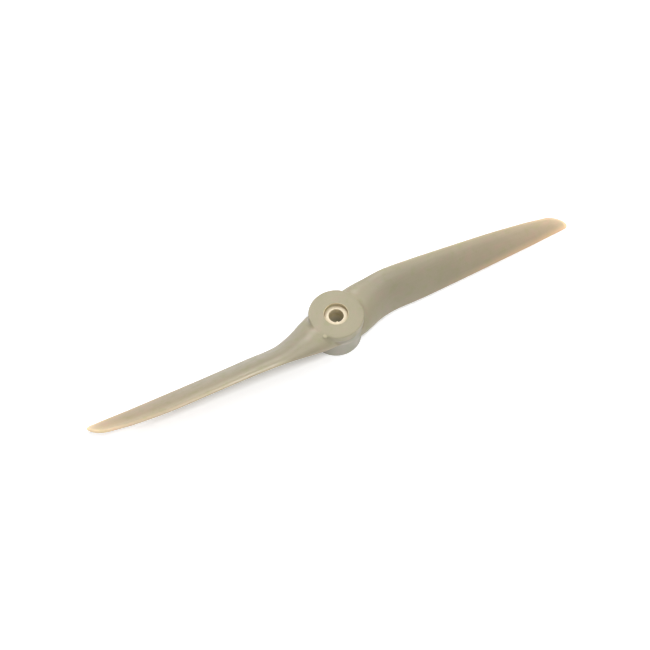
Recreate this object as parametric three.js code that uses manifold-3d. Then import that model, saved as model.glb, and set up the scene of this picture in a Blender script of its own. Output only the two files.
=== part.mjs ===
// A two-blade propeller for a model aeroplane, with the ring that fits its hub to the engine's shaft.
// The hub and both blades are one injection moulding in glass-filled nylon. The ring is a separate
// small moulding, pushed into a seat in the hub's front face, and lifts out of it forwards.
// Units are millimetres. The origin is the centre of the hub's rear face, +Z points forwards in
// flight, and the blades lie along X. Seen from the front the propeller turns anticlockwise, so the
// blade along +X has its leading edge on the +Y side.

import * as THREE from 'three';
import { LoftGeometry } from 'three/addons/geometries/LoftGeometry.js';
import { mergeVertices } from 'three/addons/utils/BufferGeometryUtils.js';
import Module from 'manifold-3d';

// Driving dimensions: the blades
const DIAMETER = 228.6;
const BLADE_COUNT = 2;
const ROOT_DISTANCE = 20; // from the hub's axis to the middle of the thick root
const NECK_DISTANCE = 28; // from the hub's axis to where the blade proper begins
const TIP_ROUND_LEADING = 8.3; // length of the elliptical corner at the tip, on the leading side
const TIP_ROUND_TRAILING = 1.3;
const TIP_POINT_INSET = 1.1; // how far the outermost point lies ahead of the trailing edge line
const TIP_BLUNT = 0.05; // how much of the tip's curve is cut off square
const TRAILING_LINE = -4.2; // the straight trailing edge's Y
const HUMP_TAPER = 0.7; // how the root's hump runs down to the trailing edge: lower is fuller
const FRONT_SHARE = 0.88; // share of a section's thickness that stands in front of its chord line

// Driving dimensions: the hub
const HUB_HEIGHT = 17.2;
const HUB_FRONT_RADIUS = 11.9;
const HUB_REAR_RADIUS = 11;
const HUB_FRONT_DEPTH = 4.6; // from the front face back to where the slope meets the rear cylinder
const HUB_SLOPE_DEPTH = 1;
const HUB_EDGE_ROUND = 0.5;
const HUB_REAR_CHAMFER = 0.3;
const HUB_BORE_RADIUS = 4;
const SEAT_RADIUS = 5.1;
const SEAT_DEPTH = 5;

// Driving dimensions: the ring
const SHAFT_BORE_RADIUS = 3.175; // a quarter-inch shaft
const RING_THICKNESS = 3.3;
const RING_CHAMFER = 0.25;
const RING_SIDE_CLEARANCE = 0.1;
const RING_SEAT_GAP = 0.05;
const NIB_WIDTH = 0.8; // the stub of the runner that the ring was broken off
const NIB_REACH = 0.55;
const NIB_HEIGHT = 0.9;
const NIB_ROOT = 0.4; // how far its stub is sunk in the ring
const NIB_ANGLE = THREE.MathUtils.degToRad(-108);

// Facets
const ROUND_SEGMENTS = 72;
const ROUND_STEPS = 4;
const SECTION_STEPS = 10;
const BLADE_STEPS = 30;
const TIP_STEPS = 7;
const MERGE_DISTANCE = 1e-4;
const CUT_PAST = 1; // how far a cutter runs past the face that it opens

const TIP_RADIUS = DIAMETER / 2;

// The blade's sections. Each gives its distance out from the hub's axis, the places of its leading
// and trailing edges as [across the blade, back from the hub's front face], its greatest thickness, its
// trailing edge's thickness, and how far its front is the root's hump (1) or an aerofoil (0).
// Those up to the neck hang on the hub's sizes. The rest share out the blade's free length.
const outward = (share) => NECK_DISTANCE + share * (TIP_RADIUS - NECK_DISTANCE);

const SECTIONS = [
  { at: -HUB_FRONT_RADIUS / 2, lead: [8.5, 9.6], trail: [-8.5, 8.6], thick: 5, edge: 3, hump: 1 },
  { at: 0, lead: [HUB_REAR_RADIUS - 0.1, 8.3], trail: [-10.3, 8.8], thick: 6, edge: 3, hump: 1 },
  { at: HUB_FRONT_RADIUS / 2, lead: [11.2, 6.2], trail: [-9.9, 9], thick: 7, edge: 2.9, hump: 1 },
  { at: HUB_FRONT_RADIUS, lead: [11.7, 4.5], trail: [-8.3, 9.6], thick: 7.1, edge: 2.6, hump: 1 },
  { at: ROOT_DISTANCE, lead: [11.5, 2.6], trail: [-5.4, 11.1], thick: 5.6, edge: 1.8, hump: 0.6 },
  { at: NECK_DISTANCE, lead: [11.2, 1], trail: [-3.9, 12.4], thick: 4.3, edge: 1.1, hump: 0.2 },
  { at: outward(0.14), lead: [10.3, 1.1], trail: [TRAILING_LINE, 12.3], thick: 3.4, edge: 0.8, hump: 0 },
  { at: outward(0.37), lead: [8.9, 2.6], trail: [TRAILING_LINE, 11.7], thick: 2.6, edge: 0.7, hump: 0 },
  { at: outward(0.6), lead: [7.5, 4.4], trail: [TRAILING_LINE, 10.7], thick: 2, edge: 0.6, hump: 0 },
  { at: outward(0.79), lead: [5.5, 5.4], trail: [TRAILING_LINE, 9.8], thick: 1.6, edge: 0.5, hump: 0 },
  { at: outward(0.9), lead: [3.7, 5.7], trail: [TRAILING_LINE, 9], thick: 1.3, edge: 0.5, hump: 0 },
  { at: outward(1), lead: [2, 6.1], trail: [TRAILING_LINE, 8.4], thick: 1, edge: 0.4, hump: 0 },
];

const wasm = await Module();
wasm.setup();

// A closed three.js geometry as a solid for joining and cutting. Triangles that a lathe squeezes to
// nothing on its axis are left out.
function toSolid(geometry) {
  const bare = new THREE.BufferGeometry().copy(geometry);
  bare.deleteAttribute('normal');
  bare.deleteAttribute('uv');
  const merged = mergeVertices(bare, MERGE_DISTANCE);
  const corners = [];
  for (let i = 0; i < merged.index.count; i += 3) {
    const [a, b, c] = [0, 1, 2].map((step) => merged.index.getX(i + step));
    if (a !== b && b !== c && c !== a) corners.push(a, b, c);
  }
  const vertProperties = new Float32Array(merged.attributes.position.array);
  const triVerts = new Uint32Array(corners);
  return new wasm.Manifold(new wasm.Mesh({ numProp: 3, vertProperties, triVerts }));
}

function toGeometry(solid) {
  const { vertProperties, triVerts } = solid.getMesh();
  const geometry = new THREE.BufferGeometry();
  geometry.setAttribute('position', new THREE.BufferAttribute(vertProperties, 3));
  geometry.setIndex(new THREE.BufferAttribute(triVerts, 1));
  geometry.computeVertexNormals();
  return geometry;
}

// A profile of [radius, height] pairs, turned about Z.
function turned(profile) {
  const points = profile.map(([radius, height]) => new THREE.Vector2(radius, height));
  return new THREE.LatheGeometry(points, ROUND_SEGMENTS).rotateX(Math.PI / 2);
}

// One size of the sections, picked from each of them, as a smooth curve read anywhere on the blade.
function sizeAt(at, pick) {
  const last = SECTIONS.length - 1;
  const beyond = SECTIONS.findIndex((section) => section.at > at);
  const i = beyond < 0 ? last - 1 : Math.max(0, beyond - 1);
  const from = SECTIONS[i];
  const to = SECTIONS[i + 1];
  const slope = (a, b) => (pick(b) - pick(a)) / (b.at - a.at);
  const startSlope = slope(SECTIONS[Math.max(0, i - 1)], to);
  const endSlope = slope(from, SECTIONS[Math.min(last, i + 2)]);
  const span = to.at - from.at;
  const t = (at - from.at) / span;
  const rise = t * t * (3 - 2 * t) * (pick(to) - pick(from));
  const lean = span * t * (1 - t) * (startSlope * (1 - t) - endSlope * t);
  return pick(from) + rise + lean;
}

// The place of an edge in the plane of a section: across the blade and up from the rear face.
function edgeAt(at, edge) {
  const across = sizeAt(at, (section) => section[edge][0]);
  const drop = sizeAt(at, (section) => section[edge][1]);
  return new THREE.Vector2(across, HUB_HEIGHT - drop);
}

// How much of the chord is left on one side of the tip's outermost point: an elliptical corner.
function tipFullness(at, roundLength) {
  const past = Math.max(0, at - (TIP_RADIUS - roundLength)) / (roundLength + TIP_BLUNT);
  return Math.sqrt(1 - past * past);
}

// Thickness along the chord, from 0 at the leading edge to 1 at the trailing edge: the usual
// polynomial of a round-nosed aerofoil, scaled to a greatest value of 1.
function aerofoil(along) {
  const nose = 2.969 * Math.sqrt(along) - 1.26 * along;
  const tail = -3.516 * along ** 2 + 2.843 * along ** 3 - 1.036 * along ** 4;
  return nose + tail;
}

// The same for the root's fuller hump, whose summit lies nearer the middle of the chord.
function hump(along) {
  const summit = 1 / (1 + 2 * HUMP_TAPER);
  const rise = (share) => Math.sqrt(share) * (1 - share) ** HUMP_TAPER;
  return rise(along) / rise(summit);
}

// One section as a loop of points: leading edge, front face, trailing edge, rear face.
function bladeSection(at) {
  const leading = edgeAt(at, 'lead');
  const trailing = edgeAt(at, 'trail');
  const chord = new THREE.Vector2().subVectors(trailing, leading);
  const forwards = new THREE.Vector2(chord.y, -chord.x).normalize();
  const outermost = trailing.clone().addScaledVector(chord, -TIP_POINT_INSET / chord.length());
  leading.lerpVectors(outermost, leading.clone(), tipFullness(at, TIP_ROUND_LEADING));
  trailing.lerpVectors(outermost, trailing.clone(), tipFullness(at, TIP_ROUND_TRAILING));
  const thinning = Math.sqrt(tipFullness(at, TIP_ROUND_TRAILING));
  const thick = thinning * sizeAt(at, (section) => section.thick);
  const edge = thinning * sizeAt(at, (section) => section.edge);
  const humped = sizeAt(at, (section) => section.hump);

  const pointAt = (step, thickShare, edgeShare) => {
    const along = (1 - Math.cos((Math.PI * step) / SECTION_STEPS)) / 2;
    const shape = THREE.MathUtils.lerp(aerofoil(along), hump(along), humped);
    const place = new THREE.Vector2().lerpVectors(leading, trailing, along);
    place.addScaledVector(forwards, thickShare * thick * shape - edgeShare * edge * along);
    return new THREE.Vector3(at, place.x, place.y);
  };
  const loop = [];
  for (let step = 0; step <= SECTION_STEPS; step += 1) loop.push(pointAt(step, FRONT_SHARE, 0));
  for (let step = SECTION_STEPS; step > 0; step -= 1) loop.push(pointAt(step, FRONT_SHARE - 1, 1));
  return loop;
}

// A blade along +X, from inside the hub to the tip. The sections crowd together towards the tip.
function bladeSolid() {
  const start = SECTIONS[0].at;
  const roundStart = TIP_RADIUS - TIP_ROUND_LEADING;
  const places = [];
  for (let step = 0; step < BLADE_STEPS; step += 1) {
    places.push(start + ((roundStart - start) * step) / BLADE_STEPS);
  }
  for (let step = 0; step <= TIP_STEPS; step += 1) {
    places.push(roundStart + TIP_ROUND_LEADING * Math.sin((Math.PI * step) / (2 * TIP_STEPS)));
  }
  return toSolid(new LoftGeometry(places.map(bladeSection), { capStart: true, capEnd: true }));
}

// The hub before it is bored: a front cylinder, a slightly narrower rear one and a slope between.
function hubSolid() {
  const profile = [
    [0, 0],
    [HUB_REAR_RADIUS - HUB_REAR_CHAMFER, 0],
    [HUB_REAR_RADIUS, HUB_REAR_CHAMFER],
    [HUB_REAR_RADIUS, HUB_HEIGHT - HUB_FRONT_DEPTH],
    [HUB_FRONT_RADIUS, HUB_HEIGHT - HUB_FRONT_DEPTH + HUB_SLOPE_DEPTH],
  ];
  for (let step = 0; step <= ROUND_STEPS; step += 1) {
    const angle = (Math.PI * step) / (2 * ROUND_STEPS);
    profile.push([
      HUB_FRONT_RADIUS - HUB_EDGE_ROUND * (1 - Math.cos(angle)),
      HUB_HEIGHT - HUB_EDGE_ROUND * (1 - Math.sin(angle)),
    ]);
  }
  profile.push([0, HUB_HEIGHT]);
  return toSolid(turned(profile));
}

// What the hub loses: its bore right through, and the ring's seat from the front.
function hubHoles() {
  const seatFloor = HUB_HEIGHT - SEAT_DEPTH;
  return toSolid(turned([
    [0, -CUT_PAST],
    [HUB_BORE_RADIUS, -CUT_PAST],
    [HUB_BORE_RADIUS, seatFloor],
    [SEAT_RADIUS, seatFloor],
    [SEAT_RADIUS, HUB_HEIGHT + CUT_PAST],
    [0, HUB_HEIGHT + CUT_PAST],
  ]));
}

function propellerGeometry() {
  let moulding = hubSolid();
  for (let index = 0; index < BLADE_COUNT; index += 1) {
    moulding = moulding.add(bladeSolid().rotate([0, 0, (360 * index) / BLADE_COUNT]));
  }
  return toGeometry(moulding.subtract(hubHoles()));
}

// The ring lies on the seat's floor and is bored for the shaft. A stub of the runner that it was
// broken off stands into the bore at its front edge.
function ringGeometry() {
  const outside = SEAT_RADIUS - RING_SIDE_CLEARANCE;
  const rear = HUB_HEIGHT - SEAT_DEPTH + RING_SEAT_GAP;
  const front = rear + RING_THICKNESS;
  const ring = toSolid(turned([
    [SHAFT_BORE_RADIUS, rear],
    [outside - RING_CHAMFER, rear],
    [outside, rear + RING_CHAMFER],
    [outside, front - RING_CHAMFER],
    [outside - RING_CHAMFER, front],
    [SHAFT_BORE_RADIUS + RING_CHAMFER, front],
    [SHAFT_BORE_RADIUS, front - RING_CHAMFER],
    [SHAFT_BORE_RADIUS, rear],
  ]));
  const length = NIB_REACH + NIB_ROOT;
  const nib = new THREE.BoxGeometry(length, NIB_WIDTH, NIB_HEIGHT);
  nib.translate(SHAFT_BORE_RADIUS - NIB_REACH + length / 2, 0, front - RING_CHAMFER - NIB_HEIGHT / 2);
  nib.rotateZ(NIB_ANGLE);
  return toGeometry(ring.add(toSolid(nib)));
}

const propeller = new THREE.Mesh(
  propellerGeometry(),
  new THREE.MeshStandardMaterial({ color: 0xb0a88f, roughness: 0.5, metalness: 0 }),
);
propeller.name = 'propeller';

const adapterRing = new THREE.Mesh(
  ringGeometry(),
  new THREE.MeshStandardMaterial({ color: 0xd9c8a6, roughness: 0.5, metalness: 0 }),
);
adapterRing.name = 'adapter_ring';

const group = new THREE.Group();
group.add(propeller, adapterRing);

export default group;
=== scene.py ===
import math
import random

import bpy
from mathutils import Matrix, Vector


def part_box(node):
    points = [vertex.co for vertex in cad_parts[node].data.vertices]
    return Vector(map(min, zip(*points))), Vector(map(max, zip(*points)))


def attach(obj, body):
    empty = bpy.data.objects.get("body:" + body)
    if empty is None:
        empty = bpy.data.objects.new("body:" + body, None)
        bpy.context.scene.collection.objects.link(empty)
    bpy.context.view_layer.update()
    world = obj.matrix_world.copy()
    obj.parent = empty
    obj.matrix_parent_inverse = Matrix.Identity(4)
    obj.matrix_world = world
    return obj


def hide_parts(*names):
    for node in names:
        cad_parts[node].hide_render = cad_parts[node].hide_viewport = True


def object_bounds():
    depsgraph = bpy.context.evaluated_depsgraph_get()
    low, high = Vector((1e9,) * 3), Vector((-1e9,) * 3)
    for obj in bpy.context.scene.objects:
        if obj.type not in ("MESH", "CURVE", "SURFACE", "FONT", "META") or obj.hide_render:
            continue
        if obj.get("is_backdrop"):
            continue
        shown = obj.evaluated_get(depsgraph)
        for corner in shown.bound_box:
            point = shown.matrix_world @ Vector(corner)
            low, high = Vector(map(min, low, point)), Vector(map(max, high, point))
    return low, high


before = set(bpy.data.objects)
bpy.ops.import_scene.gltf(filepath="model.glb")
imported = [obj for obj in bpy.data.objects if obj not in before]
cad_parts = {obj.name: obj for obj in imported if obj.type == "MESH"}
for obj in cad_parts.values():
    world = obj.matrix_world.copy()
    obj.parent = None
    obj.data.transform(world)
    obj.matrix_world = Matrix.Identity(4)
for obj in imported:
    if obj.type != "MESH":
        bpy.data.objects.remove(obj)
cad_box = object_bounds()


# ---- The camera ------------------------------------------------------------------------------------
# A long lens looking down on the front of the propeller from the near side, the way small parts are
# shown on a table. The propeller lies aslant, so the camera is turned round it.
MM = 0.001
CAMERA_DISTANCE = 629.7 * MM
CAMERA_AZIMUTH = math.radians(-27.7)
CAMERA_ELEVATION = math.radians(60.38)
LENS = 80.34  # millimetres, on a sensor 36 mm wide
SHIFT_ACROSS = -0.0172
SHIFT_UP = 0.0134

toward_camera = Vector((
    math.sin(CAMERA_AZIMUTH) * math.cos(CAMERA_ELEVATION),
    -math.cos(CAMERA_AZIMUTH) * math.cos(CAMERA_ELEVATION),
    math.sin(CAMERA_ELEVATION),
))
camera_data = bpy.data.cameras.new("camera")
camera_data.lens = LENS
camera_data.sensor_width = 36
camera_data.shift_x = SHIFT_ACROSS
camera_data.shift_y = SHIFT_UP
camera = bpy.data.objects.new("camera", camera_data)
camera.location = toward_camera * CAMERA_DISTANCE
camera.rotation_euler = toward_camera.to_track_quat("Z", "Y").to_euler()
bpy.context.scene.collection.objects.link(camera)
bpy.context.scene.camera = camera


# ---- The table and the light -----------------------------------------------------------------------
# A light table: a wide white sheet that glows softly, in a dark room. Above it hang two large soft
# lamps and four small ones, which draw the narrow shadow under the near blade.
TABLE_HALF = 3.0
TABLE_GLOW = 0.3
SURROUND_STRENGTH = 0.02
LAMP_DISTANCE = 1.2
# Each lamp: its direction from the hub, its side in metres and its power.
LAMPS = (
    ("back_sheet", (0, 1, 1), 0.8, 4.1),
    ("right_sheet", (1, 0, 1), 0.8, 4.2),
    ("back_lamp", (0, 1, 1.2), 0.25, 4.6),
    ("left_lamp", (-1, 0, 1.7), 0.25, 1.2),
    ("front_lamp", (0, -1, 2.7), 0.25, 7.2),
    ("low_lamp", (-0.2, -1, 0.35), 0.25, 1.4),
)

table_mesh = bpy.data.meshes.new("table")
table_corners = [(x * TABLE_HALF, y * TABLE_HALF, 0) for x, y in ((-1, -1), (1, -1), (1, 1), (-1, 1))]
table_mesh.from_pydata(table_corners, [], [(0, 1, 2, 3)])
table = bpy.data.objects.new("table", table_mesh)
bpy.context.scene.collection.objects.link(table)
table_paint = bpy.data.materials.new("table_white")
table_paint.use_nodes = True
table_shader = table_paint.node_tree.nodes["Principled BSDF"]
table_shader.inputs["Base Color"].default_value = (0.9, 0.905, 0.93, 1)
table_shader.inputs["Roughness"].default_value = 0.8
table_shader.inputs["Specular IOR Level"].default_value = 0.1
table_shader.inputs["Emission Color"].default_value = (1, 1, 1, 1)
table_shader.inputs["Emission Strength"].default_value = TABLE_GLOW
table_mesh.materials.append(table_paint)
table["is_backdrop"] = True

surround = bpy.data.worlds.new("surround")
surround.use_nodes = True
surround.node_tree.nodes["Background"].inputs["Color"].default_value = (1, 1, 1, 1)
surround.node_tree.nodes["Background"].inputs["Strength"].default_value = SURROUND_STRENGTH
bpy.context.scene.world = surround
bpy.context.scene.view_settings.view_transform = "Standard"

for name, direction, side, power in LAMPS:
    lamp_data = bpy.data.lights.new(name, "AREA")
    lamp_data.size = side
    lamp_data.energy = power
    lamp = bpy.data.objects.new(name, lamp_data)
    stand = Vector(direction).normalized()
    lamp.location = stand * LAMP_DISTANCE
    lamp.rotation_euler = stand.to_track_quat("Z", "Y").to_euler()
    bpy.context.scene.collection.objects.link(lamp)


# ---- The propeller ---------------------------------------------------------------------------------
# The hub and both blades are one moulding in glass-filled nylon. The hub is turned from a profile, the
# blades are lofted by a node tree from the sizes that a propeller drawing gives at its stations, and
# the two are run together with a fillet before the shaft's hole and the ring's seat are cut.
# Sizes are in millimetres.
TIP_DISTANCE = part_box("propeller")[1].x / MM
BLADES = 2
HUMP_TAPER = 0.7  # how the root's hump runs down to the trailing edge
FRONT_SHARE = 0.88  # share of a section's thickness in front of its chord line
TIP_POINT_INSET = 1.1
TIP_ROUND_LEADING = 8.3
TIP_ROUND_TRAILING = 1.3
TRAILING_ROLL = 0.045  # share of a section's loop that rolls round the trailing edge
NECK = 28.0

HUB_HEIGHT = 17.2
HUB_FRONT_RADIUS = 11.9
HUB_REAR_RADIUS = 11.0
HUB_SLOPE = (12.6, 13.6)  # heights where the slope between the two cylinders begins and ends
HUB_EDGE_ROUND = 0.5
HUB_REAR_ROUND = 0.3
HUB_BORE_RADIUS = 4.0
SEAT_RADIUS = 5.1
SEAT_DEPTH = 5.0
MOUTH_ROUND = 0.2
GATE_PLACE = (-9.2, -7.35, 16.75)
GATE_SIZE = (1.0, 1.0, 0.32)  # half its breadths and its height
ROUND_SEGMENTS = 192
ROUND_STEPS = 5
WALL_PITCH = 0.35
SHARP_CORNER = math.radians(38)  # edges that bend more than this stay sharp
NYLON_IOR = 1.53

# Each station: distance from the axis, leading edge across and back from the hub's front face, trailing
# edge across and back, thickness, thickness of the trailing edge, and how far the front is the root's
# hump (1) or an aerofoil (0).
FREE_LENGTH = TIP_DISTANCE - NECK
STATIONS = (
    (-HUB_FRONT_RADIUS / 2, 8.5, 9.6, -8.5, 8.6, 5.0, 3.0, 1.0),
    (0.0, HUB_REAR_RADIUS - 0.1, 8.3, -10.3, 8.8, 6.0, 3.0, 1.0),
    (HUB_FRONT_RADIUS / 2, 11.2, 6.2, -9.9, 9.0, 7.0, 2.9, 1.0),
    (HUB_FRONT_RADIUS, 11.7, 4.5, -8.3, 9.6, 7.1, 2.6, 1.0),
    (20.0, 11.5, 2.6, -5.4, 11.1, 5.6, 1.8, 0.6),
    (NECK, 11.2, 1.0, -3.9, 12.4, 4.3, 1.1, 0.2),
    (NECK + 0.14 * FREE_LENGTH, 10.3, 1.1, -4.2, 12.3, 3.4, 0.8, 0.0),
    (NECK + 0.37 * FREE_LENGTH, 8.9, 2.6, -4.2, 11.7, 2.6, 0.7, 0.0),
    (NECK + 0.6 * FREE_LENGTH, 7.5, 4.4, -4.2, 10.7, 2.0, 0.6, 0.0),
    (NECK + 0.79 * FREE_LENGTH, 5.5, 5.4, -4.2, 9.8, 1.6, 0.5, 0.0),
    (NECK + 0.9 * FREE_LENGTH, 3.7, 5.7, -4.2, 9.0, 1.3, 0.5, 0.0),
    (TIP_DISTANCE, 2.0, 6.1, -4.2, 8.4, 1.0, 0.4, 0.0),
)
MARKS_PER_STATION = 6


def faired(column):
    """One size of the stations as close marks on a smooth curve: (share of the length, size)."""
    at = [station[0] for station in STATIONS]
    size = [station[column] for station in STATIONS]
    last = len(STATIONS) - 1
    marks = []
    for i in range(last):
        before = max(0, i - 1)
        after = min(last, i + 2)
        span = at[i + 1] - at[i]
        start_slope = (size[i + 1] - size[before]) / (at[i + 1] - at[before])
        end_slope = (size[after] - size[i]) / (at[after] - at[i])
        for step in range(MARKS_PER_STATION):
            t = step / MARKS_PER_STATION
            rise = t * t * (3 - 2 * t) * (size[i + 1] - size[i])
            lean = span * t * (1 - t) * (start_slope * (1 - t) - end_slope * t)
            marks.append((at[i] + span * t, size[i] + rise + lean))
    marks.append((at[last], size[last]))
    return [((place - at[0]) / (at[last] - at[0]), value) for place, value in marks]


def quarter_round(centre, radius, start_angle):
    """Points [radius, height] of a quarter circle, turning anticlockwise from start_angle in degrees."""
    points = []
    for step in range(ROUND_STEPS + 1):
        angle = math.radians(start_angle + 90 * step / ROUND_STEPS)
        points.append((centre[0] + radius * math.cos(angle), centre[1] + radius * math.sin(angle)))
    return points


def with_steps(profile, pitch):
    """The same profile with long straight stretches cut into steps of about the pitch."""
    fine = [profile[0]]
    for start, end in zip(profile, profile[1:]):
        steps = max(1, round(math.dist(start, end) / pitch))
        for step in range(1, steps + 1):
            share = step / steps
            fine.append((start[0] + share * (end[0] - start[0]), start[1] + share * (end[1] - start[1])))
    return fine


def turned(name, profile):
    """A closed mesh turned about Z from [radius, height] pairs, seen anticlockwise. An end on the axis
    becomes one point, and a profile clear of the axis closes on itself."""
    corners = []
    rings = []
    for radius, height in profile:
        if radius < 1e-9:
            rings.append([len(corners)] * ROUND_SEGMENTS)
            corners.append((0, 0, height * MM))
            continue
        rings.append(list(range(len(corners), len(corners) + ROUND_SEGMENTS)))
        for step in range(ROUND_SEGMENTS):
            angle = 2 * math.pi * step / ROUND_SEGMENTS
            corners.append((radius * math.cos(angle) * MM, radius * math.sin(angle) * MM, height * MM))
    on_axis = profile[0][0] < 1e-9
    pairs = list(zip(rings, rings[1:])) if on_axis else list(zip(rings, rings[1:] + rings[:1]))
    faces = []
    for lower, upper in pairs:
        for step in range(ROUND_SEGMENTS):
            after = (step + 1) % ROUND_SEGMENTS
            corners_round = (lower[step], lower[after], upper[after], upper[step])
            faces.append(tuple(dict.fromkeys(corners_round)))
    mesh = bpy.data.meshes.new(name)
    mesh.from_pydata(corners, [], faces)
    obj = bpy.data.objects.new(name, mesh)
    bpy.context.scene.collection.objects.link(obj)
    return obj


class Bench:
    """Adds nodes to one node tree. A term is another node's socket or a plain value."""

    def __init__(self, tree):
        self.tree = tree

    def feed(self, socket, term):
        if isinstance(term, bpy.types.NodeSocket):
            self.tree.links.new(term, socket)
        else:
            socket.default_value = term

    def add(self, kind, inputs=None, **settings):
        node = self.tree.nodes.new(kind)
        for name, value in settings.items():
            setattr(node, name, value)
        for key, term in (inputs or {}).items():
            self.feed(node.inputs[key], term)
        return node

    def maths(self, operation, *terms):
        return self.add("ShaderNodeMath", dict(enumerate(terms)), operation=operation).outputs[0]

    def vectors(self, operation, *terms):
        node = self.add("ShaderNodeVectorMath", dict(enumerate(terms)), operation=operation)
        return node.outputs["Value" if operation in ("LENGTH", "DISTANCE", "DOT_PRODUCT") else "Vector"]

    def scaled(self, vector, amount):
        return self.add("ShaderNodeVectorMath", {0: vector, "Scale": amount}, operation="SCALE").outputs[0]

    def between(self, share, start, end):
        return self.add("ShaderNodeMix", {0: share, 4: start, 5: end}, data_type="VECTOR").outputs[1]

    def tinted(self, colour, share, tint):
        """The colour multiplied by as much of the tint as the share says."""
        return self.vectors("MULTIPLY", colour, self.between(share, (1, 1, 1), tint))

    def graded(self, value, stops):
        """A colour that passes through the stops (value, colour) between 0 and 1."""
        node = self.add("ShaderNodeValToRGB", {0: value})
        elements = node.color_ramp.elements
        elements[0].position, elements[1].position = stops[0][0], stops[-1][0]
        elements[0].color, elements[1].color = (*stops[0][1], 1), (*stops[-1][1], 1)
        for spot, colour in stops[1:-1]:
            elements.new(spot).color = (*colour, 1)
        return node.outputs[0]

    def noise(self, vector, scale, detail=2.0):
        settings = {"Vector": vector, "Scale": scale, "Detail": detail}
        return self.add("ShaderNodeTexNoise", settings).outputs[0]

    def ramp(self, value, low, high, start=0.0, end=1.0):
        """Goes smoothly from start to end while the value goes from low to high."""
        inputs = {0: value, 1: low, 2: high, 3: start, 4: end}
        return self.add("ShaderNodeMapRange", inputs, interpolation_type="SMOOTHSTEP").outputs[0]


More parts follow.
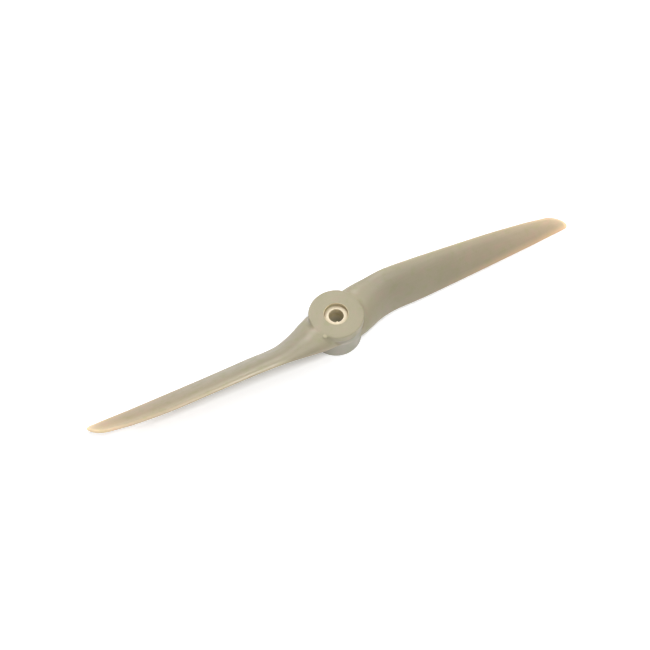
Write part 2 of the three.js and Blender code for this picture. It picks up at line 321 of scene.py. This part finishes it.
def loft_tree():
    """The node tree that lofts the blades, joins them to the turned hub and cuts the holes."""
    tree = bpy.data.node_groups.new("propeller_moulding", "GeometryNodeTree")
    for name, kind in (
        ("Hub", "NodeSocketGeometry"),
        ("Holes", "NodeSocketObject"),
        ("Blades", "NodeSocketInt"),
        ("Tip distance", "NodeSocketFloat"),
        ("Hub height", "NodeSocketFloat"),
        ("Front share", "NodeSocketFloat"),
        ("Hump taper", "NodeSocketFloat"),
        ("Tip point inset", "NodeSocketFloat"),
        ("Leading tip round", "NodeSocketFloat"),
        ("Trailing tip round", "NodeSocketFloat"),
        ("Fillet", "NodeSocketFloat"),
        ("Fillet passes", "NodeSocketInt"),
        ("Gate place", "NodeSocketVector"),
        ("Gate size", "NodeSocketVector"),
        ("Rows", "NodeSocketInt"),
        ("Points round", "NodeSocketInt"),
        ("Finish", "NodeSocketMaterial"),
    ):
        tree.interface.new_socket(name, in_out="INPUT", socket_type=kind)
    tree.interface.new_socket("Moulding", in_out="OUTPUT", socket_type="NodeSocketGeometry")
    bench = Bench(tree)
    sizes = bench.add("NodeGroupInput").outputs
    maths = bench.maths
    start = STATIONS[0][0]

    # The loft starts as a unit cylinder: its height tells how far out, its angle how far round.
    tube = bench.add(
        "GeometryNodeMeshCylinder",
        {"Vertices": sizes["Points round"], "Side Segments": sizes["Rows"], "Radius": 1.0, "Depth": 1.0},
        fill_type="TRIANGLE_FAN",
    ).outputs["Mesh"]
    place = bench.add("GeometryNodeInputPosition").outputs[0]
    axes = bench.add("ShaderNodeSeparateXYZ", {0: place}).outputs
    row = maths("ADD", axes["Z"], 0.5)
    radius = bench.vectors("LENGTH", bench.vectors("MULTIPLY", place, (1, 1, 0)))
    turn = maths("WRAP", maths("DIVIDE", maths("ARCTAN2", axes["Y"], axes["X"]), 2 * math.pi), 1.0, 0.0)

    # Rows crowd together at the tip, where the outline turns.
    rest = maths("SUBTRACT", 1.0, row)
    squared = maths("MULTIPLY", row, row)
    eased = maths("MULTIPLY", squared, maths("SUBTRACT", 3.0, maths("MULTIPLY", row, 2.0)))
    early = maths("MULTIPLY", maths("MULTIPLY", row, 0.5), maths("MULTIPLY", rest, rest))
    share = maths("ADD", eased, early)
    length = maths("SUBTRACT", sizes["Tip distance"], start)
    out = maths("MULTIPLY_ADD", share, length, start)

    def size_along(column):
        """One size of the stations as a curve over the blade's length. The curve is drawn a thousand times
        smaller, because its handles only lie right where it is much longer than it is high."""
        node = bench.add("ShaderNodeFloatCurve", {"Factor": 1.0, "Value": share})
        node.mapping.use_clip = False
        curve = node.mapping.curves[0]
        marks = [(place, value * MM) for place, value in faired(column)]
        for point, mark in zip(curve.points, (marks[0], marks[-1])):
            point.location = mark
        for mark in marks[1:-1]:
            curve.points.new(*mark)
        node.mapping.update()
        return maths("DIVIDE", node.outputs[0], MM)

    def fullness(round_length):
        """What is left of the outline where the tip's elliptical corner takes it away."""
        corner_start = maths("SUBTRACT", sizes["Tip distance"], round_length)
        past = maths("MAXIMUM", maths("DIVIDE", maths("SUBTRACT", out, corner_start), round_length), 0.0)
        return maths("SQRT", maths("MAXIMUM", maths("SUBTRACT", 1.0, maths("MULTIPLY", past, past)), 0.0))

    def edge_point(across, drop):
        height = maths("SUBTRACT", sizes["Hub height"], drop)
        return bench.add("ShaderNodeCombineXYZ", {0: out, 1: across, 2: height}).outputs[0]

    leading = edge_point(size_along(1), size_along(2))
    trailing = edge_point(size_along(3), size_along(4))
    chord = bench.vectors("SUBTRACT", trailing, leading)
    forwards = bench.vectors("NORMALIZE", bench.vectors("CROSS_PRODUCT", chord, (1, 0, 0)))
    inset = bench.scaled(bench.vectors("NORMALIZE", chord), sizes["Tip point inset"])
    outermost = bench.vectors("SUBTRACT", trailing, inset)
    trailing_fullness = fullness(sizes["Trailing tip round"])
    leading = bench.between(fullness(sizes["Leading tip round"]), outermost, leading)
    trailing = bench.between(trailing_fullness, outermost, trailing)

    # Round the section: leading edge, front face, trailing edge, rear face. The aerofoil is the usual
    # four-digit thickness curve, and the hump is scaled to be as high.
    along = maths("MULTIPLY_ADD", maths("COSINE", maths("MULTIPLY", turn, 2 * math.pi)), -0.5, 0.5)
    tail = maths("MULTIPLY_ADD", along, -1.036, 2.843)
    tail = maths("MULTIPLY_ADD", along, tail, -3.516)
    tail = maths("MULTIPLY_ADD", along, tail, -1.26)
    aerofoil = maths("MULTIPLY_ADD", maths("SQRT", along), 2.969, maths("MULTIPLY", along, tail))
    hump = maths("POWER", maths("SUBTRACT", 1.0, along), sizes["Hump taper"])
    hump = maths("MULTIPLY", maths("SQRT", along), hump)
    summit = 1 / (1 + 2 * HUMP_TAPER)
    hump = maths("DIVIDE", hump, math.sqrt(summit) * (1 - summit) ** HUMP_TAPER)
    humped = size_along(7)
    shape = maths("MULTIPLY_ADD", maths("SUBTRACT", hump, aerofoil), humped, aerofoil)
    in_front = maths("LESS_THAN", turn, 0.5)
    side = maths("ADD", maths("SUBTRACT", sizes["Front share"], 1.0), in_front)
    thinning = maths("SQRT", trailing_fullness)
    thick = maths("MULTIPLY", size_along(5), thinning)
    edge = maths("MULTIPLY", size_along(6), thinning)
    rolled = bench.ramp(turn, 0.5 - TRAILING_ROLL, 0.5 + TRAILING_ROLL)
    camber = maths("MULTIPLY", maths("MULTIPLY", side, thick), shape)
    backing = maths("MULTIPLY", maths("MULTIPLY", edge, along), rolled)
    on_chord = bench.between(along, leading, trailing)
    on_loop = bench.vectors("ADD", on_chord, bench.scaled(forwards, maths("SUBTRACT", camber, backing)))
    middle = bench.between(0.5, leading, trailing)
    section_point = bench.between(radius, middle, on_loop)

    def each_blade(geometry):
        """A copy for each blade, turned evenly round the hub's axis."""
        points = bench.add("GeometryNodePoints", {"Count": sizes["Blades"]}).outputs[0]
        index = bench.add("GeometryNodeInputIndex").outputs[0]
        angle = maths("DIVIDE", maths("MULTIPLY", index, 2 * math.pi), sizes["Blades"])
        euler = bench.add("ShaderNodeCombineXYZ", {2: angle}).outputs[0]
        rotation = bench.add("FunctionNodeEulerToRotation", {0: euler}).outputs[0]
        copies = bench.add(
            "GeometryNodeInstanceOnPoints", {"Points": points, "Instance": geometry, "Rotation": rotation},
        ).outputs[0]
        return bench.add("GeometryNodeRealizeInstances", {0: copies}).outputs[0]

    def laid(geometry, where):
        """Moves the geometry's points to the place worked out for them, in metres."""
        settled = {"Geometry": geometry, "Position": bench.scaled(where, MM)}
        return bench.add("GeometryNodeSetPosition", settled).outputs[0]

    one_blade = laid(tube, section_point)
    joined_ends = {"Geometry": one_blade, "Distance": 1e-7}
    one_blade = bench.add("GeometryNodeMergeByDistance", joined_ends).outputs[0]
    blades = each_blade(one_blade)

    # Blades and hub become one body. Its points are smoothed where both surfaces are near.
    body = bench.add("GeometryNodeMeshBoolean", operation="UNION", solver="MANIFOLD")
    tree.links.new(blades, body.inputs["Mesh 2"])
    tree.links.new(sizes["Hub"], body.inputs["Mesh 2"])
    off_hub = bench.add("GeometryNodeProximity", {"Geometry": sizes["Hub"]}).outputs["Distance"]
    off_blades = bench.add("GeometryNodeProximity", {"Geometry": blades}).outputs["Distance"]
    off_seam = maths("MAXIMUM", off_hub, off_blades)
    reach = maths("MULTIPLY", sizes["Fillet"], MM)
    softness = bench.ramp(off_seam, 0.0, reach, 1.0, 0.0)
    smoothed = bench.add(
        "GeometryNodeBlurAttribute",
        {"Value": place, "Iterations": sizes["Fillet passes"], "Weight": softness},
        data_type="FLOAT_VECTOR",
    )
    tree.links.new(place, [s for s in smoothed.inputs if s.enabled and s.name == "Value"][0])
    smooth_place = [s for s in smoothed.outputs if s.enabled][0]
    filleted = {"Geometry": body.outputs["Mesh"], "Position": smooth_place}
    filleted = bench.add("GeometryNodeSetPosition", filleted).outputs[0]

    # The mark that the mould's gate left on the front rim is a flat dome.
    ball = {"Segments": 48, "Rings": 24, "Radius": 1.0}
    dome = bench.add("GeometryNodeMeshUVSphere", ball).outputs["Mesh"]
    dome = bench.add(
        "GeometryNodeTransform",
        {"Geometry": dome, "Translation": sizes["Gate place"], "Scale": sizes["Gate size"]},
    ).outputs[0]
    marked = bench.add("GeometryNodeMeshBoolean", operation="UNION", solver="MANIFOLD")
    tree.links.new(filleted, marked.inputs["Mesh 2"])
    tree.links.new(dome, marked.inputs["Mesh 2"])

    cutter = bench.add("GeometryNodeObjectInfo", {"Object": sizes["Holes"]}).outputs["Geometry"]
    cut = bench.add("GeometryNodeMeshBoolean", operation="DIFFERENCE", solver="MANIFOLD")
    tree.links.new(marked.outputs["Mesh"], cut.inputs["Mesh 1"])
    tree.links.new(cutter, cut.inputs["Mesh 2"])
    result = cut.outputs["Mesh"]

    # How far each point is from the edges of the blades, for the finish.
    step = bench.add("ShaderNodeCombineXYZ", {2: maths("DIVIDE", 1.0, sizes["Rows"])}).outputs[0]
    steps = {"Count": sizes["Rows"], "Start Location": (0, 0, -0.5), "Offset": step}
    line = bench.add("GeometryNodeMeshLine", steps).outputs[0]
    for name, where in (("off_leading_edge", leading), ("off_trailing_edge", trailing)):
        edges = each_blade(laid(line, where))
        nearest = bench.add("GeometryNodeProximity", {"Geometry": edges}, target_element="EDGES")
        noted = {"Geometry": result, "Name": name, "Value": nearest.outputs["Distance"]}
        result = bench.add("GeometryNodeStoreNamedAttribute", noted, domain="POINT").outputs[0]

    # Smooth all over, but sharp where two faces meet at a real corner.
    result = bench.add("GeometryNodeSetShadeSmooth", {"Geometry": result, "Shade Smooth": True}).outputs[0]
    corner = bench.add("GeometryNodeInputMeshEdgeAngle").outputs["Unsigned Angle"]
    is_sharp = maths("GREATER_THAN", corner, SHARP_CORNER)
    creased = {"Geometry": result, "Selection": is_sharp, "Shade Smooth": False}
    result = bench.add("GeometryNodeSetShadeSmooth", creased, domain="EDGE").outputs[0]
    result = bench.add("GeometryNodeRealizeInstances", {0: result}).outputs[0]
    finished = {"Geometry": result, "Material": sizes["Finish"]}
    result = bench.add("GeometryNodeSetMaterial", finished).outputs[0]
    bench.add("NodeGroupOutput", {0: result})
    return tree


def made_by_nodes(obj, tree, values):
    """Runs the tree on the object with these inputs and keeps the result as its plain mesh."""
    modifier = obj.modifiers.new("made", "NODES")
    modifier.node_group = tree
    for item in tree.interface.items_tree:
        if item.in_out == "INPUT" and item.name in values:
            modifier[item.identifier] = values[item.name]
    evaluated = obj.evaluated_get(bpy.context.evaluated_depsgraph_get())
    mesh = bpy.data.meshes.new_from_object(evaluated)
    obj.modifiers.remove(modifier)
    obj.data = mesh
    return obj


# The nylon's colour along the blade, from the hub's axis to the tip, with painted light in it: it pales
# and warms towards the tip, where light shines through the thinning blade.
COLOUR_AND_THROUGH_LIGHT_STOPS = (
    (0.0, (0.374, 0.335, 0.224)),
    (0.11, (0.366, 0.326, 0.220)),
    (0.2, (0.334, 0.295, 0.208)),
    (0.45, (0.345, 0.300, 0.206)),
    (0.7, (0.370, 0.306, 0.206)),
    (0.86, (0.430, 0.342, 0.226)),
    (0.94, (0.520, 0.400, 0.258)),
    (1.0, (0.630, 0.500, 0.328)),
)


def nylon_finish():
    """Grey-tan nylon: mottled, streaked along the flow of the melt, with a line where the halves of the
    mould
    met, rub marks from the washer and a fine grain. Painted light and shade are laid into its colour too:
    light shining through the thin edges and tips, highlights on edges and rims, bluish table light on the
    rear of the hub, light in the bore and shade under the front disc."""
    finish = bpy.data.materials.new("glass_filled_nylon")
    finish.use_nodes = True
    bench = Bench(finish.node_tree)
    maths = bench.maths
    ramp = bench.ramp
    place = bench.add("ShaderNodeTexCoord").outputs["Object"]
    place = bench.scaled(place, 1 / MM)
    axes = bench.add("ShaderNodeSeparateXYZ", {0: place}).outputs
    out = maths("ABSOLUTE", axes["X"])
    off_axis = bench.vectors("LENGTH", bench.vectors("MULTIPLY", place, (1, 1, 0)))
    bearing = maths("ARCTAN2", axes["Y"], axes["X"])
    edges = []
    for name in ("off_leading_edge", "off_trailing_edge"):
        distance = bench.add("ShaderNodeAttribute", attribute_name=name).outputs["Fac"]
        edges.append(maths("DIVIDE", distance, MM))
    off_leading, off_trailing = edges
    on_blade = ramp(out, 14.0, 26.0)

    # Colour along the blade, then painted light: lighter near the leading edge, where the front tilts up
    # to the lamps, and paler and warmer along the thin trailing edge, where light shines through it.
    colour = bench.graded(maths("DIVIDE", out, TIP_DISTANCE), COLOUR_AND_THROUGH_LIGHT_STOPS)
    painted_nose_light = maths("MULTIPLY", ramp(off_leading, 4.5, 1.5), on_blade)
    colour = bench.tinted(colour, painted_nose_light, (1.13, 1.13, 1.12))
    thin = maths("MULTIPLY", ramp(off_trailing, 3.2, 0.2), ramp(out, 38.0, 82.0))
    colour = bench.tinted(colour, thin, (1.24, 1.2, 1.17))
    warmer = maths("MULTIPLY", thin, ramp(axes["X"], 20.0, 70.0))
    colour = bench.tinted(colour, warmer, (1.1, 1.03, 0.98))
    thin_root = maths("MULTIPLY", ramp(off_trailing, 1.6, 0.1), on_blade)
    colour = bench.tinted(colour, thin_root, (1.06, 1.04, 1.06))

    # Painted bluish light from the table on the rear half of the hub, painted shade under the front disc's
    # rim and painted light inside the bore, fading towards the rear face.
    painted_rear_bounce = maths("MULTIPLY", ramp(axes["Z"], 13.2, 12.4), ramp(off_axis, 10.4, 10.8))
    painted_rear_bounce = maths("MULTIPLY", painted_rear_bounce, ramp(off_axis, 11.9, 11.2))
    colour = bench.tinted(colour, painted_rear_bounce, (1.03, 1.08, 1.27))
    # Painted shade under the front disc's rim.
    painted_shade_under_disc = maths("MULTIPLY", ramp(axes["Z"], 9.9, 11.3), ramp(axes["Z"], 13.8, 13.3))
    painted_shade_under_disc = maths("MULTIPLY", painted_shade_under_disc, ramp(off_axis, 10.5, 10.9))
    painted_shade_under_disc = maths("MULTIPLY", painted_shade_under_disc, ramp(off_axis, 12.4, 11.8))
    colour = bench.tinted(colour, painted_shade_under_disc, (0.79, 0.76, 0.72))
    # Painted light inside the bore, fading towards the rear face.
    in_bore = maths("MULTIPLY", ramp(off_axis, 5.4, 5.0), ramp(axes["Z"], 12.6, 12.0))
    in_bore = maths("MULTIPLY", in_bore, ramp(axes["Z"], 5.0, 10.5, 0.15, 1.0))
    colour = bench.tinted(colour, in_bore, (1.95, 1.9, 1.8))

    # Mottling in three sizes: clouds, blotches that lean green or pink, and streaks along the flow.
    clouds = bench.noise(place, 0.06, 3.0)
    colour = bench.tinted(colour, ramp(clouds, 0.35, 0.7), (0.95, 0.955, 0.94))
    blotches = bench.noise(place, 0.32, 4.0)
    colour = bench.tinted(colour, ramp(blotches, 0.52, 0.7), (0.945, 0.995, 0.9))
    colour = bench.tinted(colour, ramp(blotches, 0.47, 0.32), (1.05, 0.98, 1.02))
    streaks = bench.noise(bench.vectors("MULTIPLY", place, (0.12, 1.3, 1.3)), 1.0, 3.0)
    streaked = maths("MULTIPLY", ramp(streaks, 0.4, 0.7), on_blade)
    colour = bench.tinted(colour, streaked, (1.03, 1.028, 1.025))
    fibres = bench.noise(bench.vectors("MULTIPLY", place, (1.4, 5.0, 5.0)), 1.0, 2.0)
    colour = bench.tinted(colour, ramp(fibres, 0.62, 0.74), (1.07, 1.07, 1.06))
    specks = bench.noise(place, 4.5, 2.0)
    colour = bench.tinted(colour, ramp(specks, 0.68, 0.76), (0.82, 0.8, 0.78))

    # The line where the halves of the mould met runs along the leading edges and on over the hub's side.
    parting = maths("MULTIPLY", ramp(off_leading, 0.9, 0.3), ramp(blotches, 0.3, 0.6, 0.45, 1.0))
    parting_tint = bench.between(on_blade, (1.2, 1.12, 1.17), (1.03, 1.03, 1.02))
    colour = bench.tinted(colour, parting, parting_tint)
    # A painted highlight along the crest of the leading edges out on the blades; the roughness is lowered
    # there too.
    painted_crest_highlight = maths("MULTIPLY", ramp(off_leading, 1.7, 0.9), ramp(out, 24.0, 34.0))
    colour = bench.tinted(colour, painted_crest_highlight, (1.32, 1.3, 1.28))

    # The washer has rubbed arcs into the front face. Painted highlights lie round the seat's mouth, round
    # the front disc's rim and on top of the gate mark, and painted light on the seat's wall.
    at_front = ramp(axes["Z"], 17.0, 17.15)
    under_washer = maths("MULTIPLY", ramp(off_axis, 5.6, 6.2), ramp(off_axis, 10.9, 9.6))
    polar = bench.add("ShaderNodeCombineXYZ", {0: maths("MULTIPLY", off_axis, 4.0), 1: bearing}).outputs[0]
    arcs = ramp(bench.noise(polar, 1.6, 3.0), 0.5, 0.66)
    rubbed = maths("MULTIPLY", arcs, maths("MULTIPLY", at_front, under_washer))
    colour = bench.tinted(colour, rubbed, (1.06, 1.05, 1.03))
    by_front = ramp(axes["Z"], 16.5, 16.9)
    # Painted highlight round the seat's mouth.
    painted_mouth_highlight = maths("MULTIPLY", maths("COMPARE", off_axis, SEAT_RADIUS + 0.1, 0.16), by_front)
    colour = bench.tinted(colour, painted_mouth_highlight, (1.22, 1.19, 1.14))
    # Painted highlight round the front disc's rim.
    painted_rim_highlight = maths("MULTIPLY", maths("COMPARE", off_axis, HUB_FRONT_RADIUS - 0.15, 0.2), by_front)
    colour = bench.tinted(colour, painted_rim_highlight, (1.06, 1.05, 1.03))
    # Painted light on the seat's wall.
    painted_seat_wall_light = maths("MULTIPLY", ramp(off_axis, 5.4, 5.2), ramp(axes["Z"], 14.5, 15.2))
    colour = bench.tinted(colour, painted_seat_wall_light, (1.45, 1.38, 1.34))
    # Painted highlight on top of the gate mark.
    flat_place = bench.vectors("MULTIPLY", place, (1, 1, 0))
    off_gate = bench.vectors("DISTANCE", flat_place, (GATE_PLACE[0], GATE_PLACE[1], 0))
    painted_gate_highlight = maths("MULTIPLY", ramp(off_gate, 1.1, 0.6), ramp(axes["Z"], 16.4, 16.8))
    colour = bench.tinted(colour, painted_gate_highlight, (1.2, 1.18, 1.18))

    rough = ramp(blotches, 0.3, 0.7, 0.43, 0.53)
    rough = maths("ADD", rough, ramp(specks, 0.3, 0.7, -0.03, 0.03))
    rough = maths("SUBTRACT", rough, maths("MULTIPLY", rubbed, 0.08))
    rough = maths("SUBTRACT", rough, maths("MULTIPLY", painted_crest_highlight, 0.14))

    sinks = bench.noise(place, 0.14, 1.0)
    grain = bench.noise(place, 7.0, 3.0)
    relief = maths("ADD", maths("MULTIPLY", sinks, 0.25), maths("MULTIPLY", grain, 0.012))
    relief = maths("ADD", relief, maths("MULTIPLY", streaks, 0.02))
    relief = maths("SUBTRACT", relief, maths("MULTIPLY", rubbed, 0.01))
    relief = maths("ADD", relief, maths("MULTIPLY", parting, 0.04))
    bump = bench.add("ShaderNodeBump", {"Strength": 0.55, "Distance": MM, "Height": relief}).outputs[0]

    shader = finish.node_tree.nodes["Principled BSDF"]
    bench.feed(shader.inputs["Base Color"], colour)
    bench.feed(shader.inputs["Roughness"], rough)
    bench.feed(shader.inputs["Normal"], bump)
    shader.inputs["IOR"].default_value = NYLON_IOR
    return finish


hub_profile = [(0, 0), (HUB_BORE_RADIUS + 2 * MOUTH_ROUND, 0), (HUB_REAR_RADIUS - 2 * HUB_REAR_ROUND, 0)]
hub_profile += quarter_round((HUB_REAR_RADIUS - HUB_REAR_ROUND, HUB_REAR_ROUND), HUB_REAR_ROUND, -90)
hub_walls = [
    (HUB_REAR_RADIUS, HUB_REAR_ROUND),
    (HUB_REAR_RADIUS, HUB_SLOPE[0]),
    (HUB_FRONT_RADIUS, HUB_SLOPE[1]),
    (HUB_FRONT_RADIUS, HUB_HEIGHT - HUB_EDGE_ROUND),
]
hub_profile += with_steps(hub_walls, WALL_PITCH)[1:-1]
edge_middle = (HUB_FRONT_RADIUS - HUB_EDGE_ROUND, HUB_HEIGHT - HUB_EDGE_ROUND)
hub_profile += quarter_round(edge_middle, HUB_EDGE_ROUND, 0)
hub_face = [
    (HUB_FRONT_RADIUS - 1.5 * HUB_EDGE_ROUND, HUB_HEIGHT),
    (SEAT_RADIUS + 2 * MOUTH_ROUND, HUB_HEIGHT),
]
hub_profile += with_steps(hub_face, WALL_PITCH)
hub_profile += [(0, HUB_HEIGHT)]
propeller = turned("propeller_moulding", hub_profile)

seat_floor = HUB_HEIGHT - SEAT_DEPTH
holes_profile = [
    (0, -1),
    (HUB_BORE_RADIUS + MOUTH_ROUND, -1),
    (HUB_BORE_RADIUS + MOUTH_ROUND, 0),
    (HUB_BORE_RADIUS, MOUTH_ROUND),
    (HUB_BORE_RADIUS, seat_floor),
]
holes_profile += quarter_round((SEAT_RADIUS - MOUTH_ROUND, seat_floor + MOUTH_ROUND), MOUTH_ROUND, -90)
mouth = quarter_round((SEAT_RADIUS + MOUTH_ROUND, HUB_HEIGHT - MOUTH_ROUND), MOUTH_ROUND, 90)
holes_profile += mouth[::-1]
holes_profile += [(SEAT_RADIUS + MOUTH_ROUND, HUB_HEIGHT + 1), (0, HUB_HEIGHT + 1)]
holes = turned("holes", holes_profile)

propeller = made_by_nodes(propeller, loft_tree(), {
    "Holes": holes,
    "Blades": BLADES,
    "Tip distance": TIP_DISTANCE,
    "Hub height": HUB_HEIGHT,
    "Front share": FRONT_SHARE,
    "Hump taper": HUMP_TAPER,
    "Tip point inset": TIP_POINT_INSET,
    "Leading tip round": TIP_ROUND_LEADING,
    "Trailing tip round": TIP_ROUND_TRAILING,
    "Fillet": 2.2,
    "Fillet passes": 30,
    "Gate place": [value * MM for value in GATE_PLACE],
    "Gate size": [value * MM for value in GATE_SIZE],
    "Rows": 240,
    "Points round": 112,
    "Finish": nylon_finish(),
})
bpy.data.objects.remove(holes)
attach(propeller, "propeller")
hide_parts("propeller")


# ---- The adapter ring ------------------------------------------------------------------------------
# A small moulding in cream nylon, pressed into the hub's seat, that fits the hub to the engine's shaft.
# It was broken off its runner by hand, which left a ragged stub in the bore.
RING_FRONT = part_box("adapter_ring")[1].z / MM
RING_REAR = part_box("adapter_ring")[0].z / MM
RING_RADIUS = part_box("adapter_ring")[1].x / MM
SHAFT_BORE_RADIUS = 3.175
RING_ROUND = 0.16
STUB_REACH = 0.55
STUB_ROOT = 0.35
STUB_WIDTH = 0.8
STUB_HEIGHT = 0.9
STUB_DEPTH = 0.25  # from the ring's front face back to the stub
STUB_ANGLE = math.radians(-108)
STUB_TAPER = 0.16  # share of its breadth lost towards the torn end
STUB_SQUARENESS = 0.45
STUB_SEED = 5
CREAM_STOPS = ((0.0, (0.70, 0.615, 0.455)), (1.0, (0.64, 0.55, 0.395)))


def broken_stub(name):
    """A short bar pointing at the axis, a little narrower towards its torn end."""
    dice = random.Random(STUB_SEED)
    around = 28
    stations = 9
    middle = RING_FRONT - STUB_DEPTH - STUB_HEIGHT / 2
    corners = []
    for station in range(stations):
        share = station / (stations - 1)
        reach = SHAFT_BORE_RADIUS + STUB_ROOT - share * (STUB_ROOT + STUB_REACH)
        narrowing = 1 - STUB_TAPER * share
        for step in range(around):
            turn = 2 * math.pi * step / around
            side = math.copysign(abs(math.cos(turn)) ** STUB_SQUARENESS, math.cos(turn))
            side *= narrowing * STUB_WIDTH / 2
            rise = math.copysign(abs(math.sin(turn)) ** STUB_SQUARENESS, math.sin(turn))
            rise *= narrowing * STUB_HEIGHT / 2
            torn = dice.uniform(-0.09, 0.05) if station == stations - 1 else 0
            along = reach + torn
            x = along * math.cos(STUB_ANGLE) - side * math.sin(STUB_ANGLE)
            y = along * math.sin(STUB_ANGLE) + side * math.cos(STUB_ANGLE)
            corners.append((x * MM, y * MM, (middle + rise) * MM))
    faces = []
    for station in range(stations - 1):
        for step in range(around):
            after = (step + 1) % around
            low = station * around
            high = low + around
            faces.append((low + step, low + after, high + after, high + step))
    for end, order in ((0, -1), (stations - 1, 1)):
        ring_of_points = corners[end * around:(end + 1) * around]
        centre = [sum(values) / around for values in zip(*ring_of_points)]
        inwards = dice.uniform(0.02, 0.1) * MM if end else 0
        centre[0] -= inwards * math.cos(STUB_ANGLE)
        centre[1] -= inwards * math.sin(STUB_ANGLE)
        corners.append(tuple(centre))
        for step in range(around):
            pair = (end * around + step, end * around + (step + 1) % around)
            faces.append((*pair[::order], len(corners) - 1))
    mesh = bpy.data.meshes.new(name)
    mesh.from_pydata(corners, [], faces)
    stub = bpy.data.objects.new(name, mesh)
    bpy.context.scene.collection.objects.link(stub)
    return stub


def cream_finish():
    """Cream nylon without glass: cloudy and duller where it was torn, with painted light near the bore's
    edge and painted shade towards the outer edge and down the bore.
    """
    finish = bpy.data.materials.new("cream_nylon")
    finish.use_nodes = True
    bench = Bench(finish.node_tree)
    maths = bench.maths
    ramp = bench.ramp
    place = bench.scaled(bench.add("ShaderNodeTexCoord").outputs["Object"], 1 / MM)
    height = bench.add("ShaderNodeSeparateXYZ", {0: place}).outputs["Z"]
    off_axis = bench.vectors("LENGTH", bench.vectors("MULTIPLY", place, (1, 1, 0)))
    clouds = bench.noise(place, 0.5, 3.0)
    grain = bench.noise(place, 9.0, 3.0)
    specks = bench.noise(place, 5.0, 1.0)
    colour = bench.graded(ramp(clouds, 0.3, 0.7), CREAM_STOPS)
    # Painted light near the bore's edge.
    painted_lip_light = ramp(off_axis, SHAFT_BORE_RADIUS + 0.9, SHAFT_BORE_RADIUS + 0.4)
    colour = bench.tinted(colour, painted_lip_light, (1.13, 1.13, 1.13))
    # Painted shade towards the outer edge.
    painted_outer_shade = ramp(off_axis, RING_RADIUS - 0.9, RING_RADIUS - 0.3)
    colour = bench.tinted(colour, painted_outer_shade, (0.84, 0.8, 0.74))
    # Painted shade down the bore's wall.
    near_wall = ramp(off_axis, SHAFT_BORE_RADIUS + 0.1, SHAFT_BORE_RADIUS)
    in_bore = maths("MULTIPLY", near_wall, ramp(height, 15.5, 15.3))
    colour = bench.tinted(colour, in_bore, (0.9, 0.9, 0.84))
    colour = bench.tinted(colour, ramp(specks, 0.66, 0.74), (0.84, 0.8, 0.74))
    torn = ramp(off_axis, SHAFT_BORE_RADIUS - 0.25, SHAFT_BORE_RADIUS - 0.45)
    colour = bench.tinted(colour, torn, (1.2, 1.2, 1.22))
    rough = maths("ADD", ramp(clouds, 0.3, 0.7, 0.4, 0.5), maths("MULTIPLY", torn, 0.2))
    relief = maths("ADD", maths("MULTIPLY", clouds, 0.05), maths("MULTIPLY", grain, 0.01))
    bump = bench.add("ShaderNodeBump", {"Strength": 0.5, "Distance": MM, "Height": relief}).outputs[0]
    shader = finish.node_tree.nodes["Principled BSDF"]
    bench.feed(shader.inputs["Base Color"], colour)
    bench.feed(shader.inputs["Roughness"], rough)
    bench.feed(shader.inputs["Normal"], bump)
    shader.inputs["IOR"].default_value = NYLON_IOR
    return finish


ring_profile = quarter_round((SHAFT_BORE_RADIUS + RING_ROUND, RING_REAR + RING_ROUND), RING_ROUND, 180)
ring_profile += quarter_round((RING_RADIUS - RING_ROUND, RING_REAR + RING_ROUND), RING_ROUND, 270)
ring_profile += quarter_round((RING_RADIUS - RING_ROUND, RING_FRONT - RING_ROUND), RING_ROUND, 0)
ring_profile += quarter_round((SHAFT_BORE_RADIUS + RING_ROUND, RING_FRONT - RING_ROUND), RING_ROUND, 90)
ring = turned("shaft_ring", with_steps(ring_profile, WALL_PITCH))
stub = broken_stub("stub")
joining = ring.modifiers.new("stub", "BOOLEAN")
joining.operation = "UNION"
joining.solver = "MANIFOLD"
joining.object = stub
ring_mesh = bpy.data.meshes.new_from_object(ring.evaluated_get(bpy.context.evaluated_depsgraph_get()))
ring.modifiers.clear()
ring.data = ring_mesh
bpy.data.objects.remove(stub)
ring_mesh.shade_smooth()
ring_mesh.set_sharp_from_angle(angle=SHARP_CORNER)
ring_mesh.materials.clear()
ring_mesh.materials.append(cream_finish())
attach(ring, "adapter_ring")
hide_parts("adapter_ring")


corners = {"cad": cad_box, "visual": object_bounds()}
{name: [list(corner) for corner in box] for name, box in corners.items()}
